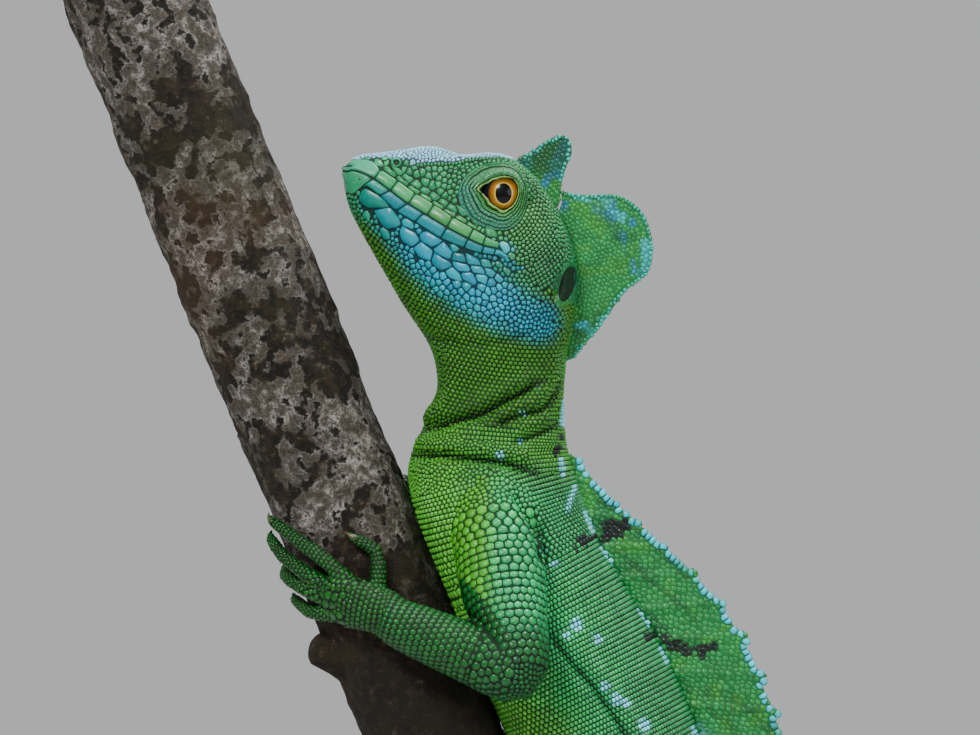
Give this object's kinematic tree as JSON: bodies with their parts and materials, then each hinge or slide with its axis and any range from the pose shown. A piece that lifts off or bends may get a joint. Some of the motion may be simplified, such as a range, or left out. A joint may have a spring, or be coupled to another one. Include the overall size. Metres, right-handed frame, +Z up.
{
  "type": "basilisk lizard on a branch",
  "caption": "Life-size green crested lizard clinging to a leaning length of branch, held by two rods on a flat display base.",
  "frame": {"origin": "centre of the display base's flat underside", "axes": "+Z up; the animal faces -X and its left side faces -Y; +X towards its tail"},
  "size_m": [0.2382, 0.13, 0.5382],
  "materials": {
    "skin": "satin scaly hide",
    "crest": "thin scaly membrane",
    "eye": "wet and clear over an amber iris",
    "bark": "rough dark bark with grey lichen",
    "board": "dark oiled board",
    "rod": "plain brushed rod"
  },
  "bodies": {
    "root": {"head": "skin", "neck": "skin", "torso": "skin", "tail_1": "skin", "tail_2": "skin", "tail_3": "skin", "tail_4": "skin", "upper_arm_left": "skin", "forearm_left": "skin", "hand_left": "skin", "upper_arm_right": "skin", "forearm_right": "skin", "hand_right": "skin", "thigh_left": "skin", "shin_left": "skin", "foot_left": "skin", "thigh_right": "skin", "shin_right": "skin", "foot_right": "skin", "crest_head_front": "crest", "crest_head_rear": "crest", "crest_back": "crest", "crest_tail_1": "crest", "crest_tail_2": "crest", "crest_tail_3": "crest", "eye_left": "eye", "eye_right": "eye", "perch_branch": "bark", "stand_base": "board", "stand_rod_1": "rod", "stand_rod_2": "rod"}
  },
  "joints": []
}
